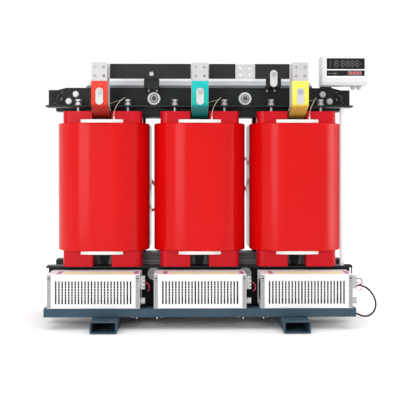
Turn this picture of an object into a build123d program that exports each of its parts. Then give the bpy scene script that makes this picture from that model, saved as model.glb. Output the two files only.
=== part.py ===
"""Three-phase cast-resin dry type transformer with six cross-flow cooling fans.

Millimetres. +X runs along the row of coils, -Y is the low-voltage side (the front), +Z is up.
The origin is on the floor, at the centre of the four anchor holes and under the middle leg.
"""

from math import atan2, cos, degrees, radians, sin, tan
import os

from build123d import *

os.makedirs("parts", exist_ok=True)

# ---------------------------------------------------------------- core
coil_pitch = 460.0
leg_width = 190.0
yoke_height = 190.0
window_height = 661.0
core_half_depth = 92.0
# Each packet of laminations: narrower leg, lower yoke, less depth than the largest values above.
leg_narrowing = (0.0, 26.0, 62.0, 118.0)
yoke_narrowing = (0.0, 26.0, 62.0, 92.0)
depth_loss = (48.0, 30.0, 14.0, 0.0)
corner_clip = 38.0
yoke_bolt_x = 220.0
yoke_bolt_radius = 9.0
bolt_clearance = 1.0

# ---------------------------------------------------------------- frame
foot_height = 57.5
foot_width = 121.0
foot_length = 838.0
foot_wall = 7.5
foot_corner_radius = 9.0
foot_slot_inset = 24.0
foot_slot_size = (34.0, 22.0)
foot_spacing = 860.0
anchor_spacing_y = 700.0
anchor_hole_radius = 9.0
core_ground_gap = 74.5
clamp_thickness = 8.0
clamp_insulation = 5.0
clamp_half_length = 727.0
clamp_bend_radius = 9.0
upper_web_height = 98.0
upper_web_drop = 54.0
upper_flange_depth = 78.0
upper_end_drop = 11.0
upper_end_length = 42.0
lower_flange_top = 270.0
lower_flange_depth = 70.0
upper_bolt_drop = 8.0
lower_bolt_drop = 2.0
lug_inset = 48.0
lug_hole_radius = 31.0
end_bolt_x = (596.0, 630.0)
end_bolt_rise = (67.0, 33.0)
tie_width = 58.0
tie_neck_width = 30.0
tie_thickness = 5.0
tie_neck_height = 60.0
base_bolt_y = 142.0

# ---------------------------------------------------------------- coils
hv_width = 438.0
hv_wall = 60.0
coil_height = 604.0
hv_corner_radius = 123.0
hv_edge_radius = 6.0
duct_width = 20.0
lv_wall = 32.0
lower_block_height = 74.0
press_gap = 21.0
block_outer_x = 187.0
block_inner_x = 44.0
block_front_y = 194.0
block_back_y = 108.0
block_corner_radius = 34.0
block_edge_radius = 5.0
barrier_half_width = 99.0
barrier_thickness = 15.0
barrier_front_y = 217.0
barrier_end_y = 203.0
press_bolt_x = 118.0
press_bolt_y = 150.0
press_bolt_radius = 7.0
press_bolt_rise = 30.0

# ---------------------------------------------------------------- busbars
bar_width = 72.0
bar_thickness = 10.0
bar_foot_y = 132.0
bar_foot_rise = 18.0
bar_front_y = 300.0
bar_bend_height = 1022.0
bar_top = 1218.0
bar_bend_radius = 14.0
bare_flag_height = 85.0
sleeve_thickness = 1.5
sleeve_clearance = 0.1
sleeve_foot_gap = 14.0
flag_hole_radius = 6.5
flag_hole_spacing = 40.0
neutral_height = 66.0
neutral_thickness = 8.0
neutral_reach = 500.0
neutral_sleeve_y = 1.2
neutral_pad_x = 211.0
neutral_pad_width = 92.0
neutral_pad_spacing_x = 44.0
neutral_pad_spacing_z = 30.0
riser_width = 80.0
riser_thickness = 6.0
riser_foot_y = 113.0
riser_foot_rise = 35.0
riser_front_y = 232.0
riser_bend_height = 1022.7
bracket_x = (-225.0, 344.0)
bracket_width = 71.0
bracket_thickness = 6.0
bracket_bottom = 1113.0
bracket_foot_drop = 11.0
marker_width = 34.0
marker_height = 78.0
marker_thickness = 2.0
marker_bolt_drop = 19.0
bar_marker_top = 1102.0
neutral_marker_top = 1191.0
bus_bolt_radius = 5.0
bus_head_radius = 11.0
bus_head_height = 7.0

# ---------------------------------------------------------------- fans
rail_half_length = 710.0
rail_height = 39.5
rail_depth = 62.0
rail_wall = 5.0
rail_front_y = 330.0
fan_pitch = 485.0
fan_length = 420.0
fan_height = 155.0
fan_depth = 165.0
fan_sheet = 2.0
fan_cap_depth = 21.0
fan_screw_inset = 34.0
slot_count = 24
slot_width = 7.0
slot_height = 104.0
slot_field_start = 37.0
outlet_length = 330.0
outlet_height = 52.0
outlet_drop = 14.0
impeller_radius = 46.0
impeller_core_y = 250.0
blade_count = 12
blade_chord = 11.0
blade_thickness = 1.6
blade_pitch_angle = 35.0
disc_thickness = 2.0
disc_columns = (0, 10, 20)
shaft_radius = 4.0
shaft_clearance = 0.05
bush_radius = 10.0
bush_length = 9.0
motor_radius = 42.0
motor_gap = 8.0
motor_socket = 18.0
terminal_width = 34.0
terminal_height = 57.0
terminal_reach = 42.0
terminal_z = 212.0
terminal_y = 300.0
capacitor_radius = 14.5
capacitor_z = 128.0

# ---------------------------------------------------------------- temperature controller
controller_width = 217.0
controller_height = 136.0
controller_depth = 98.0
controller_left_x = 576.0
controller_base_z = 1127.0
controller_slope = 14.0
controller_wall = 3.0
bezel_inset = 16.0
bezel_bottom = 34.0
bezel_top = 8.0
bezel_depth = 3.0
window_inset = 7.0
strip_height = 27.0
window_gap = 6.0
key_count = 4
key_width = 11.0
key_height = 12.0
key_pitch = 16.0
key_stand = 2.5
key_clearance = 0.3
key_right_margin = 15.0
gland_radius = 10.0
gland_length = 18.0
gland_inset = (62.0, 34.0)
controller_plate_rise = 60.0
controller_plate_drop = 20.0
controller_plate_x = (6.0, 62.0)
conduit_radius = 10.5
conduit_wall = 1.5
conduit_x = 681.0
conduit_y = 148.0

# ---------------------------------------------------------------- rear high-voltage fittings
hv_panel_width = 150.0
hv_panel_height = 560.0
hv_panel_rise = 14.0
hv_panel_root = 12.0
hv_boss_radius = 17.0
hv_boss_rise = 12.0
tap_spacing_x = 60.0
tap_spacing_z = 45.0
tap_rows = 3
tap_centre_z = 646.0
terminal_drop = 48.0
hv_stud_radius = 5.0
hv_shank_radius = 6.0
hv_tip_length = 20.0
hv_seat_height = 4.0
hv_seat_radius = 12.0
hv_stud_length = 34.0
tap_stud_length = 16.0
hv_long_stud_length = 74.0
rod_radius = 9.0
rod_eye_radius = 15.0
rod_eye_thickness = 10.0
rod_root = rod_eye_radius - 2.0

# ---------------------------------------------------------------- heights and faces that follow
leg_x = (-coil_pitch, 0.0, coil_pitch)
lower_yoke_z = foot_height + core_ground_gap + yoke_height / 2
upper_yoke_z = lower_yoke_z + yoke_height + window_height
clamp_inner_y = core_half_depth + clamp_insulation
clamp_face_y = clamp_inner_y + clamp_thickness
upper_flange_z = upper_yoke_z - upper_web_drop
upper_web_top = upper_flange_z + upper_web_height
coil_bottom = lower_flange_top + lower_block_height
coil_top = coil_bottom + coil_height
block_top = upper_flange_z - press_gap
hv_half = hv_width / 2
lv_half = hv_half - hv_wall - duct_width
lv_corner_radius = hv_corner_radius - hv_wall - duct_width
hv_face_y = hv_half + hv_panel_rise
rail_top = foot_height + rail_height
fan_half = fan_length / 2
impeller_z = rail_top + fan_height / 2 - 4.0
lug_x = clamp_half_length - lug_inset
lug_z = upper_flange_z + upper_web_height / 2


def save(piece, name):
    """Label one finished piece and write it."""
    piece.label = name
    export_step(piece, f"parts/{name}.step")


def block(x, y, z, mode=Mode.ADD):
    """A box between the pairs of limits x, y and z."""
    with Locations(((x[0] + x[1]) / 2, (y[0] + y[1]) / 2, (z[0] + z[1]) / 2)):
        Box(x[1] - x[0], y[1] - y[0], z[1] - z[0], mode=mode)


def rounded_square(half, radius, mode=Mode.ADD):
    """The coils' outline: a square of the given half width with large corners."""
    RectangleRounded(2 * half, 2 * half, radius, mode=mode)


# ================================================================ core
def corner_triangles():
    """The clipped corners of the core, cut from the sketch in use."""
    for side in (-1, 1):
        for z, turn in ((upper_yoke_z + yoke_height / 2, -1), (lower_yoke_z - yoke_height / 2, 1)):
            x = coil_pitch + leg_width / 2
            with BuildLine() as triangle:
                Polyline(
                    (side * x, z), (side * (x - corner_clip), z), (side * x, z + turn * corner_clip),
                    close=True,
                )
            make_face(triangle.edges(), mode=Mode.SUBTRACT)


def packet_bands():
    """Each packet's half leg width, half yoke height, and its bands of depth as (start, length)."""
    inner_depth = 0.0
    for narrow_leg, narrow_yoke, loss in zip(leg_narrowing, yoke_narrowing, depth_loss):
        outer_depth = core_half_depth - loss
        length = outer_depth - inner_depth
        bands = [(inner_depth, length), (-outer_depth, length)]
        yield (leg_width - narrow_leg) / 2, (yoke_height - narrow_yoke) / 2, bands
        inner_depth = outer_depth


upper_bolt_z = upper_yoke_z - upper_bolt_drop
tie_lower_z = lower_yoke_z - lower_bolt_drop

with BuildPart() as core_legs:
    for w, h, bands in packet_bands():
        outer, inner = coil_pitch + w, coil_pitch - w
        foot, floor = lower_yoke_z - h, lower_yoke_z + h
        under, crown = upper_yoke_z - h, upper_yoke_z + h
        for start, length in bands:
            with BuildSketch(Plane.XZ.offset(start)):
                with BuildLine():
                    Polyline(
                        (-outer, foot), (outer, foot), (outer, crown), (inner, under), (inner, floor),
                        (w, floor), (w, under), (0, under + h), (-w, under), (-w, floor),
                        (-inner, floor), (-inner, under), (-outer, crown), close=True,
                    )
                make_face()
                corner_triangles()
                with Locations((-yoke_bolt_x, tie_lower_z), (yoke_bolt_x, tie_lower_z)):
                    Circle(yoke_bolt_radius + bolt_clearance, mode=Mode.SUBTRACT)
            extrude(amount=length)

with BuildPart() as core_upper_yoke:
    for w, h, bands in packet_bands():
        outer, inner = coil_pitch + w, coil_pitch - w
        under, crown = upper_yoke_z - h, upper_yoke_z + h
        for start, length in bands:
            with BuildSketch(Plane.XZ.offset(start)):
                with BuildLine():
                    Polyline(
                        (-outer, crown), (outer, crown), (inner, under), (w, under),
                        (0, under + h), (-w, under), (-inner, under), close=True,
                    )
                make_face()
                corner_triangles()
                with Locations((-yoke_bolt_x, upper_bolt_z), (yoke_bolt_x, upper_bolt_z)):
                    Circle(yoke_bolt_radius + bolt_clearance, mode=Mode.SUBTRACT)
            extrude(amount=length)

save(core_legs.part, "core_legs")
save(core_upper_yoke.part, "core_upper_yoke")

# Strips of board between each clamp and the core, on each side of the middle leg's tie plate.
with BuildPart() as clamp_strips:
    board_height = yoke_height - yoke_narrowing[-1] - 8.0
    for yoke_z, bolt_z in ((upper_yoke_z, upper_bolt_z), (lower_yoke_z, tie_lower_z)):
        for side in (-1, 1):
            for plane in (Plane.XZ.offset(core_half_depth), Plane.XZ.offset(-clamp_inner_y)):
                with BuildSketch(plane):
                    with Locations((side * coil_pitch / 2, yoke_z)):
                        Rectangle(coil_pitch - tie_width - 24.0, board_height)
                    with Locations((side * yoke_bolt_x, bolt_z)):
                        Circle(yoke_bolt_radius + bolt_clearance, mode=Mode.SUBTRACT)
                extrude(amount=clamp_insulation)
save(clamp_strips.part, "clamp_insulation")

# ================================================================ clamps


def clamp_profile(low, high, flange_depth, flange_at):
    """The folded section of a clamp in the YZ plane: a web with flanges turned outwards."""
    rear, front = -clamp_inner_y, -clamp_face_y
    tip = front - flange_depth
    with BuildLine() as section:
        if flange_at == "bottom":
            Polyline(
                (rear, low), (rear, high), (front, high), (front, low + clamp_thickness),
                (tip, low + clamp_thickness), (tip, low), close=True,
            )
        else:
            Polyline(
                (rear, low), (rear, high), (tip, high), (tip, high - clamp_thickness),
                (front, high - clamp_thickness), (front, low + clamp_thickness),
                (tip, low + clamp_thickness), (tip, low), close=True,
            )
    make_face(section.edges())


def round_bends(outer_heights):
    """Round the outer edge of each bend, where the web turns into a flange."""
    for z in outer_heights:
        bends = (
            edges()
            .filter_by(Axis.X)
            .filter_by(lambda e: abs(e.center().Z - z) < 0.1 and abs(e.center().Y + clamp_inner_y) < 0.1)
        )
        fillet(bends, clamp_bend_radius)


def clamp_holes(points, radius):
    """Round holes through a clamp's web."""
    with BuildSketch(Plane.XZ.offset(clamp_inner_y)) as holes:
        with Locations(*points):
            Circle(radius)
    extrude(holes.sketch, amount=clamp_thickness, mode=Mode.SUBTRACT)


end_bolt_points = [
    (side * x, upper_flange_z + rise) for side in (-1, 1) for x, rise in zip(end_bolt_x, end_bolt_rise)
]
lower_end_points = [(side * end_bolt_x[0], lower_yoke_z) for side in (-1, 1)]
tie_bolt_x = leg_x
tie_upper_z = upper_flange_z + upper_web_height / 2
hole_radius = yoke_bolt_radius + bolt_clearance
bracket_screw_x = 19.0
bracket_screw_radius = 3.0
bracket_screw_z = bracket_bottom - bracket_foot_drop / 2

with BuildPart() as clamp_up:
    with BuildSketch(Plane.YZ):
        clamp_profile(upper_flange_z, upper_web_top, upper_flange_depth, "bottom")
    extrude(amount=clamp_half_length, both=True)
    round_bends([upper_flange_z])
    # The web steps down by a slope near each end.
    with BuildSketch(Plane.XZ.offset(clamp_inner_y)):
        for side in (-1, 1):
            end = side * clamp_half_length
            slope_foot = side * (clamp_half_length - upper_end_length)
            slope_top = side * (clamp_half_length - 2 * upper_end_length)
            with BuildLine():
                Polyline(
                    (end, upper_web_top), (end, upper_web_top - upper_end_drop),
                    (slope_foot, upper_web_top - upper_end_drop), (slope_top, upper_web_top), close=True,
                )
            make_face()
    extrude(amount=clamp_thickness, mode=Mode.SUBTRACT)
    # Lifting lugs: a large hole at each end of the web.
    clamp_holes([(-lug_x, lug_z), (lug_x, lug_z)], lug_hole_radius)
    clamp_holes([(-yoke_bolt_x, upper_bolt_z), (yoke_bolt_x, upper_bolt_z), *end_bolt_points], hole_radius)
    clamp_holes([(x, tie_upper_z) for x in tie_bolt_x], bus_bolt_radius + bolt_clearance)
    # Holes for the press bolts in the flange.
    with BuildSketch(Plane.XY.offset(upper_flange_z)):
        with Locations(*[(x + s * press_bolt_x, -press_bolt_y) for x in leg_x for s in (-1, 1)]):
            Circle(press_bolt_radius + bolt_clearance)
    extrude(amount=clamp_thickness, mode=Mode.SUBTRACT)

with BuildPart() as upper_clamp_rear:
    mirror(clamp_up.part, about=Plane.XZ)
save(upper_clamp_rear.part, "upper_clamp_rear")

with BuildPart() as upper_clamp_front:
    add(clamp_up.part)
    screws = [(x + s * bracket_screw_x, bracket_screw_z) for x in bracket_x for s in (-1, 1)]
    clamp_holes(screws, bracket_screw_radius + 0.3)
save(upper_clamp_front.part, "upper_clamp_front")

with BuildPart() as lower_clamp_front:
    with BuildSketch(Plane.YZ):
        clamp_profile(foot_height, lower_flange_top, lower_flange_depth, "both")
    extrude(amount=clamp_half_length, both=True)
    round_bends([foot_height, lower_flange_top])
    through = [(-yoke_bolt_x, tie_lower_z), (yoke_bolt_x, tie_lower_z)]
    clamp_holes([*through, *lower_end_points], hole_radius)
    clamp_holes([(x, tie_lower_z) for x in tie_bolt_x], bus_bolt_radius + bolt_clearance)
    with BuildSketch(Plane.XY.offset(foot_height)):
        with Locations((-foot_spacing / 2, -base_bolt_y), (foot_spacing / 2, -base_bolt_y)):
            Circle(hole_radius)
    extrude(amount=clamp_thickness, mode=Mode.SUBTRACT)
save(lower_clamp_front.part, "lower_clamp_front")

with BuildPart() as lower_clamp_rear:
    mirror(lower_clamp_front.part, about=Plane.XZ)
save(lower_clamp_rear.part, "lower_clamp_rear")

# Tie plates on both faces of each leg, necked where they enter the clamps.
with BuildPart() as tie_plates:
    low_end = foot_height + clamp_thickness + 30.0
    high_end = upper_web_top - 14.0
    low_shoulder = lower_flange_top + tie_neck_height
    high_shoulder = upper_flange_z - tie_neck_height
    for face in (core_half_depth, -core_half_depth - tie_thickness):
        for x in leg_x:
            with BuildSketch(Plane.XZ.offset(face)):
                neck, full = tie_neck_width / 2, tie_width / 2
                with BuildLine():
                    Polyline(
                        (x - neck, low_end), (x + neck, low_end), (x + neck, lower_flange_top),
                        (x + full, low_shoulder), (x + full, high_shoulder), (x + neck, upper_flange_z),
                        (x + neck, high_end), (x - neck, high_end), (x - neck, upper_flange_z),
                        (x - full, high_shoulder), (x - full, low_shoulder), (x - neck, lower_flange_top),
                        close=True,
                    )
                make_face()
                with Locations((x, tie_upper_z), (x, tie_lower_z)):
                    Circle(bus_bolt_radius + bolt_clearance, mode=Mode.SUBTRACT)
            extrude(amount=tie_thickness)
save(tie_plates.part, "leg_tie_plates")

# ================================================================ feet and fan rails
with BuildPart() as foot_beam:
    with BuildSketch(Plane.XZ):
        with Locations((0, foot_height / 2)):
            RectangleRounded(foot_width, foot_height, foot_corner_radius)
            RectangleRounded(
                foot_width - 2 * foot_wall, foot_height - 2 * foot_wall,
                foot_corner_radius - foot_wall + 2.0, mode=Mode.SUBTRACT,
            )
    extrude(amount=foot_length / 2, both=True)
    with BuildSketch(Plane.XY):
        with Locations((0, -anchor_spacing_y / 2), (0, anchor_spacing_y / 2)):
            Circle(anchor_hole_radius)
    extrude(amount=foot_wall, mode=Mode.SUBTRACT)
    # Larger access holes above the anchor holes, and the clamp bolts' holes, in the top wall.
    with BuildSketch(Plane.XY.offset(foot_height - foot_wall)):
        with Locations(*[(0, side * (foot_length / 2 - foot_slot_inset)) for side in (-1, 1)]):
            RectangleRounded(*foot_slot_size, 6.0)
        with Locations((0, -base_bolt_y), (0, base_bolt_y)):
            Circle(hole_radius)
    extrude(amount=foot_wall, mode=Mode.SUBTRACT)

for side, name in ((-1, "foot_left"), (1, "foot_right")):
    with BuildPart() as foot:
        with Locations((side * foot_spacing / 2, 0, 0)):
            add(foot_beam.part)
    save(foot.part, name)

rail_bolt_x = [i * fan_pitch + s * (fan_half - fan_screw_inset) for i in (-1, 0, 1) for s in (-1, 1)]
rail_screw_radius = 4.0
with BuildPart() as fan_rail_front:
    with BuildSketch(Plane.YZ):
        with BuildLine():
            front, back = -rail_front_y, -rail_front_y + rail_depth
            Polyline(
                (front, foot_height), (back, foot_height), (back, foot_height + rail_wall),
                (front + rail_wall, foot_height + rail_wall), (front + rail_wall, rail_top - rail_wall),
                (back, rail_top - rail_wall), (back, rail_top), (front, rail_top), close=True,
            )
        make_face()
    extrude(amount=rail_half_length, both=True)
    rail_bends = edges().filter_by(Axis.X).group_by(Axis.Y)[0]
    fillet(rail_bends, rail_wall - 1.0)
    with BuildSketch(Plane.XY.offset(foot_height)):
        with Locations(*[(x, -rail_front_y + rail_depth / 2) for x in rail_bolt_x]):
            Circle(rail_screw_radius + 0.5)
    extrude(amount=rail_height, mode=Mode.SUBTRACT)
save(fan_rail_front.part, "fan_rail_front")

with BuildPart() as fan_rail_rear:
    mirror(fan_rail_front.part, about=Plane.XZ)
save(fan_rail_rear.part, "fan_rail_rear")


# ================================================================ frame bolts
def bolt_along_y(x, z, reach, radius, head, washer, washer_thickness=4.0):
    """A through-bolt along Y with a hexagon head or nut and a washer at each end."""
    with BuildSketch(Plane.XZ.offset(-reach)) as shank:
        with Locations((x, z)):
            Circle(radius)
    extrude(shank.sketch, amount=2 * reach)
    for start, way in ((reach, 1), (-reach, -1)):
        with BuildSketch(Plane.XZ.offset(start)) as ring:
            with Locations((x, z)):
                Circle(washer)
        extrude(ring.sketch, amount=way * washer_thickness)
        with BuildSketch(Plane.XZ.offset(start + way * washer_thickness)) as hexagon:
            with Locations((x, z)):
                RegularPolygon(head, 6)
        extrude(hexagon.sketch, amount=way * 0.9 * radius)


washer_radius = 31.0
with BuildPart() as frame_bolts:
    for side in (-1, 1):
        bolt_along_y(side * yoke_bolt_x, upper_bolt_z, clamp_face_y, yoke_bolt_radius, 17.0, washer_radius)
        bolt_along_y(side * yoke_bolt_x, tie_lower_z, clamp_face_y, yoke_bolt_radius, 17.0, washer_radius)
    for x, z in end_bolt_points + lower_end_points:
        bolt_along_y(x, z, clamp_face_y, yoke_bolt_radius, 13.5, 15.0)
    # Short bolts that hold the tie plates to the clamps' webs.
    for x in tie_bolt_x:
        for z in (tie_upper_z, tie_lower_z):
            for face, way in ((clamp_face_y, 1), (-clamp_face_y, -1)):
                with BuildSketch(Plane.XZ.offset(face)):
                    with Locations((x, z)):
                        RegularPolygon(10.0, 6)
                extrude(amount=way * 6.0)
                with BuildSketch(Plane.XZ.offset(face)):
                    with Locations((x, z)):
                        Circle(bus_bolt_radius)
                extrude(amount=-way * (clamp_thickness + tie_thickness))
    # Bolts through the lower clamps' bottom flanges and the feet.
    for x in (-foot_spacing / 2, foot_spacing / 2):
        for y in (-base_bolt_y, base_bolt_y):
            flange_face = foot_height + clamp_thickness
            with BuildSketch(Plane.XY.offset(flange_face)):
                with Locations((x, y)):
                    RegularPolygon(17.0, 6)
            extrude(amount=11.0)
            with BuildSketch(Plane.XY.offset(foot_height - foot_wall)):
                with Locations((x, y)):
                    Circle(yoke_bolt_radius)
            extrude(amount=foot_wall + clamp_thickness)
            with BuildSketch(Plane.XY.offset(foot_height - foot_wall)):
                with Locations((x, y)):
                    RegularPolygon(17.0, 6)
            extrude(amount=-12.0)
    # Screws that hold the fans down on their rails.
    for side in (-1, 1):
        for x in rail_bolt_x:
            y = side * (rail_front_y - rail_depth / 2)
            for low, high, radius, sides in (
                (foot_height, rail_top + fan_sheet, rail_screw_radius, 0),
                (foot_height - 6.0, foot_height, 8.0, 6),
                (rail_top + fan_sheet, rail_top + fan_sheet + 5.0, 8.0, 6),
            ):
                with BuildSketch(Plane.XY.offset(low)):
                    with Locations((x, y)):
                        if sides:
                            RegularPolygon(radius, sides)
                        else:
                            Circle(radius)
                extrude(amount=high - low)
save(frame_bolts.part, "frame_bolts")

# ================================================================ coils
tap_points = [
    (s * tap_spacing_x / 2, tap_centre_z + (row - (tap_rows - 1) / 2) * tap_spacing_z)
    for row in range(tap_rows)
    for s in (-1, 1)
]
terminal_points = [(0.0, coil_top - terminal_drop), (0.0, coil_bottom + terminal_drop)]

with BuildPart() as hv_coil:
    with BuildSketch(Plane.XY.offset(coil_bottom)):
        rounded_square(hv_half, hv_corner_radius)
    extrude(amount=coil_height)
    rims = edges().filter_by(GeomType.LINE, reverse=True) + edges().filter_by(GeomType.LINE).filter_by(
        lambda e: abs(e.center().Z - coil_bottom) < 0.1 or abs(e.center().Z - coil_top) < 0.1
    )
    fillet(rims, hv_edge_radius)
    # The raised panel on the high-voltage side, with a boss under each terminal.
    with BuildSketch(Plane.XZ.offset(-hv_half + hv_panel_root)):
        with Locations((0, (coil_bottom + coil_top) / 2)):
            RectangleRounded(hv_panel_width, hv_panel_height, 20.0)
    extrude(amount=-(hv_panel_rise + hv_panel_root))
    with BuildSketch(Plane.XZ.offset(-hv_face_y)):
        with Locations(*tap_points, *terminal_points):
            Circle(hv_boss_radius)
    extrude(amount=-hv_boss_rise, taper=6)
    with BuildSketch(Plane.XY.offset(coil_bottom)):
        rounded_square(hv_half - hv_wall, hv_corner_radius - hv_wall)
    extrude(amount=coil_height, mode=Mode.SUBTRACT)
    with BuildSketch(Plane.XZ.offset(-hv_face_y - hv_boss_rise)):
        with Locations(*tap_points):
            Circle(hv_stud_radius)
        with Locations(*terminal_points):
            Circle(hv_shank_radius)
    extrude(amount=hv_boss_rise, mode=Mode.SUBTRACT)

with BuildPart() as lv_coil:
    with BuildSketch(Plane.XY.offset(coil_bottom)):
        rounded_square(lv_half, lv_corner_radius)
        rounded_square(lv_half - lv_wall, lv_corner_radius - lv_wall, mode=Mode.SUBTRACT)
    extrude(amount=coil_height)

phases = ("a", "b", "c")
for x, phase in zip(leg_x, phases):
    with BuildPart() as placed_hv:
        with Locations((x, 0, 0)):
            add(hv_coil.part)
    save(placed_hv.part, f"hv_coil_{phase}")
    with BuildPart() as placed_lv:
        with Locations((x, 0, 0)):
            add(lv_coil.part)
    save(placed_lv.part, f"lv_coil_{phase}")


def coil_block(x, x_side, y_side, low, high):
    """A cast support block, rounded at the coil's outer corner, under or over both windings."""
    with BuildSketch(Plane.XY.offset(low)) as outline:
        inner, outer = x + x_side * block_inner_x, x + x_side * block_outer_x
        back, front = y_side * block_back_y, y_side * block_front_y
        with BuildLine():
            corners = FilletPolyline(
                (inner, back), (outer, back), (outer, front), (inner, front), (inner, back + y_side),
                radius=[1.0, block_corner_radius, block_edge_radius],
            )
            Line(corners @ 1, corners @ 0)
        make_face()
    extrude(outline.sketch, amount=high - low)


for name, low, high in (
    ("lower_coil_blocks", lower_flange_top, coil_bottom),
    ("upper_coil_blocks", coil_top, block_top),
):
    with BuildPart() as blocks:
        for x in leg_x:
            for x_side in (-1, 1):
                for y_side in (-1, 1):
                    coil_block(x, x_side, y_side, low, high)
    save(blocks.part, name)

with BuildPart() as barriers:
    lead_stub_radius, lead_stub_height, lead_stub_x = 3.5, 13.0, 57.0
    for x in leg_x:
        for low in (coil_top, coil_bottom - barrier_thickness):
            for y_side in (-1, 1):
                if y_side > 0 and low < coil_top:
                    continue
                straight = y_side * (block_front_y + 0.3)
                with BuildSketch(Plane.XY.offset(low)):
                    with BuildLine():
                        ends = Polyline(
                            (x - barrier_half_width, y_side * barrier_end_y), (x - barrier_half_width, straight),
                            (x + barrier_half_width, straight), (x + barrier_half_width, y_side * barrier_end_y),
                        )
                        ThreePointArc(ends @ 1, (x, y_side * barrier_front_y), ends @ 0)
                    make_face()
                extrude(amount=barrier_thickness)
        # The stub that the winding's sensor leads come out of.
        with BuildSketch(Plane.XY.offset(coil_top + barrier_thickness)):
            with Locations((x + lead_stub_x, -(barrier_front_y + barrier_end_y) / 2 + 3.0)):
                Circle(lead_stub_radius)
        extrude(amount=lead_stub_height)
save(barriers.part, "barrier_plates")

with BuildPart() as press_bolts:
    nut_height, head_height, nut_radius = 12.0, 9.0, 15.5
    nut_base = upper_flange_z + clamp_thickness
    for x in leg_x:
        for x_side in (-1, 1):
            for y in (-press_bolt_y, press_bolt_y):
                at = (x + x_side * press_bolt_x, y)
                with BuildSketch(Plane.XY.offset(block_top)):
                    with Locations(at):
                        Circle(press_bolt_radius)
                extrude(amount=press_gap + clamp_thickness + press_bolt_rise - head_height)
                for base, height, radius in (
                    (nut_base, 3.0, nut_radius + 3.0),
                    (nut_base + 3.0, nut_height, nut_radius),
                    (nut_base + press_bolt_rise - head_height, head_height, nut_radius),
                ):
                    with BuildSketch(Plane.XY.offset(base)):
                        with Locations(at):
                            if radius > nut_radius:
                                Circle(radius)
                            else:
                                RegularPolygon(radius, 6)
                    extrude(amount=height)
save(press_bolts.part, "coil_press_bolts")


# ================================================================ low-voltage busbars
def bent_bar(x, points, width, thickness, bend_radius):
    """A flat bar of the given width along X, swept along (y, z) points in the YZ plane."""
    with BuildLine() as route:
        FilletPolyline(*[(x, -y, z) for y, z in points], radius=bend_radius)
    path = route.line
    with BuildSketch(Plane(origin=path @ 0, x_dir=(1, 0, 0), z_dir=path % 0)) as section:
        Rectangle(width, thickness)
    sweep(section.sketch, path=path)


bar_points = [
    (bar_foot_y, coil_top), (bar_foot_y, coil_top + bar_foot_rise),
    (bar_front_y, bar_bend_height), (bar_front_y, bar_top),
]
bar_slope = atan2(bar_bend_height - coil_top - bar_foot_rise, bar_front_y - bar_foot_y)
sleeve_start = (
    bar_foot_y + (sleeve_foot_gap + bar_bend_radius) * cos(bar_slope),
    coil_top + bar_foot_rise + (sleeve_foot_gap + bar_bend_radius) * sin(bar_slope),
)
sleeve_points = [sleeve_start, (bar_front_y, bar_bend_height), (bar_front_y, bar_top - bare_flag_height)]
flag_z = bar_top - bare_flag_height / 2
bar_face_y = bar_front_y + bar_thickness / 2
bar_bolt_z = bar_marker_top - marker_bolt_drop
with BuildPart() as lv_bars:
    for x in leg_x:
        bent_bar(x, bar_points, bar_width, bar_thickness, bar_bend_radius)
        with BuildSketch(Plane.XZ.offset(bar_front_y - bar_thickness / 2)):
            with Locations((x, flag_z)):
                with GridLocations(flag_hole_spacing, flag_hole_spacing, 2, 2):
                    Circle(flag_hole_radius)
            with Locations((x, bar_bolt_z)):
                Circle(bus_bolt_radius)
        extrude(amount=bar_thickness, mode=Mode.SUBTRACT)
save(lv_bars.part, "lv_bars")

for x, phase in zip(leg_x, phases):
    with BuildPart() as sleeve_bore:
        gap = 2 * sleeve_clearance
        bent_bar(x, sleeve_points, bar_width + gap, bar_thickness + gap, bar_bend_radius)
    with BuildPart() as lv_sleeve:
        grow = 2 * (sleeve_clearance + sleeve_thickness)
        bent_bar(x, sleeve_points, bar_width + grow, bar_thickness + grow, bar_bend_radius)
        add(sleeve_bore.part, mode=Mode.SUBTRACT)
        with BuildSketch(Plane.XZ.offset(bar_front_y - bar_thickness)):
            with Locations((x, bar_bolt_z)):
                Circle(bus_bolt_radius)
        extrude(amount=2 * bar_thickness, mode=Mode.SUBTRACT)
    save(lv_sleeve.part, f"lv_sleeve_{phase}")

# ================================================================ neutral busbar
riser_points = [
    (riser_foot_y, coil_top), (riser_foot_y, coil_top + riser_foot_rise),
    (riser_front_y, riser_bend_height), (riser_front_y, bar_top),
]
neutral_z = bar_top - neutral_height / 2
neutral_back_y = riser_front_y + riser_thickness / 2
neutral_front_y = neutral_back_y + neutral_thickness
joint_bolt_points = [(x + s * flag_hole_spacing / 2, neutral_z) for x in leg_x for s in (-1, 1)]
bracket_bolt_z = neutral_marker_top - marker_bolt_drop
bracket_bolts = [(x, bracket_bolt_z) for x in bracket_x]
pad_holes = [
    (neutral_pad_x + s * neutral_pad_spacing_x / 2, neutral_z + t * neutral_pad_spacing_z / 2)
    for s in (-1, 1)
    for t in (-1, 1)
]

with BuildPart() as neutral_risers:
    for x in leg_x:
        bent_bar(x, riser_points, riser_width, riser_thickness, bar_bend_radius)
    with BuildSketch(Plane.XZ.offset(riser_front_y - riser_thickness / 2)):
        with Locations(*joint_bolt_points):
            Circle(bus_bolt_radius + 0.5)
    extrude(amount=riser_thickness, mode=Mode.SUBTRACT)
save(neutral_risers.part, "neutral_risers")

with BuildPart() as neutral_bar:
    with BuildSketch(Plane.XZ.offset(neutral_back_y)):
        with Locations((0, neutral_z)):
            Rectangle(2 * neutral_reach, neutral_height)
        with Locations(*joint_bolt_points, *bracket_bolts):
            Circle(bus_bolt_radius + 0.5, mode=Mode.SUBTRACT)
        with Locations(*pad_holes):
            Circle(flag_hole_radius, mode=Mode.SUBTRACT)
    extrude(amount=neutral_thickness)
save(neutral_bar.part, "neutral_bar")

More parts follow.
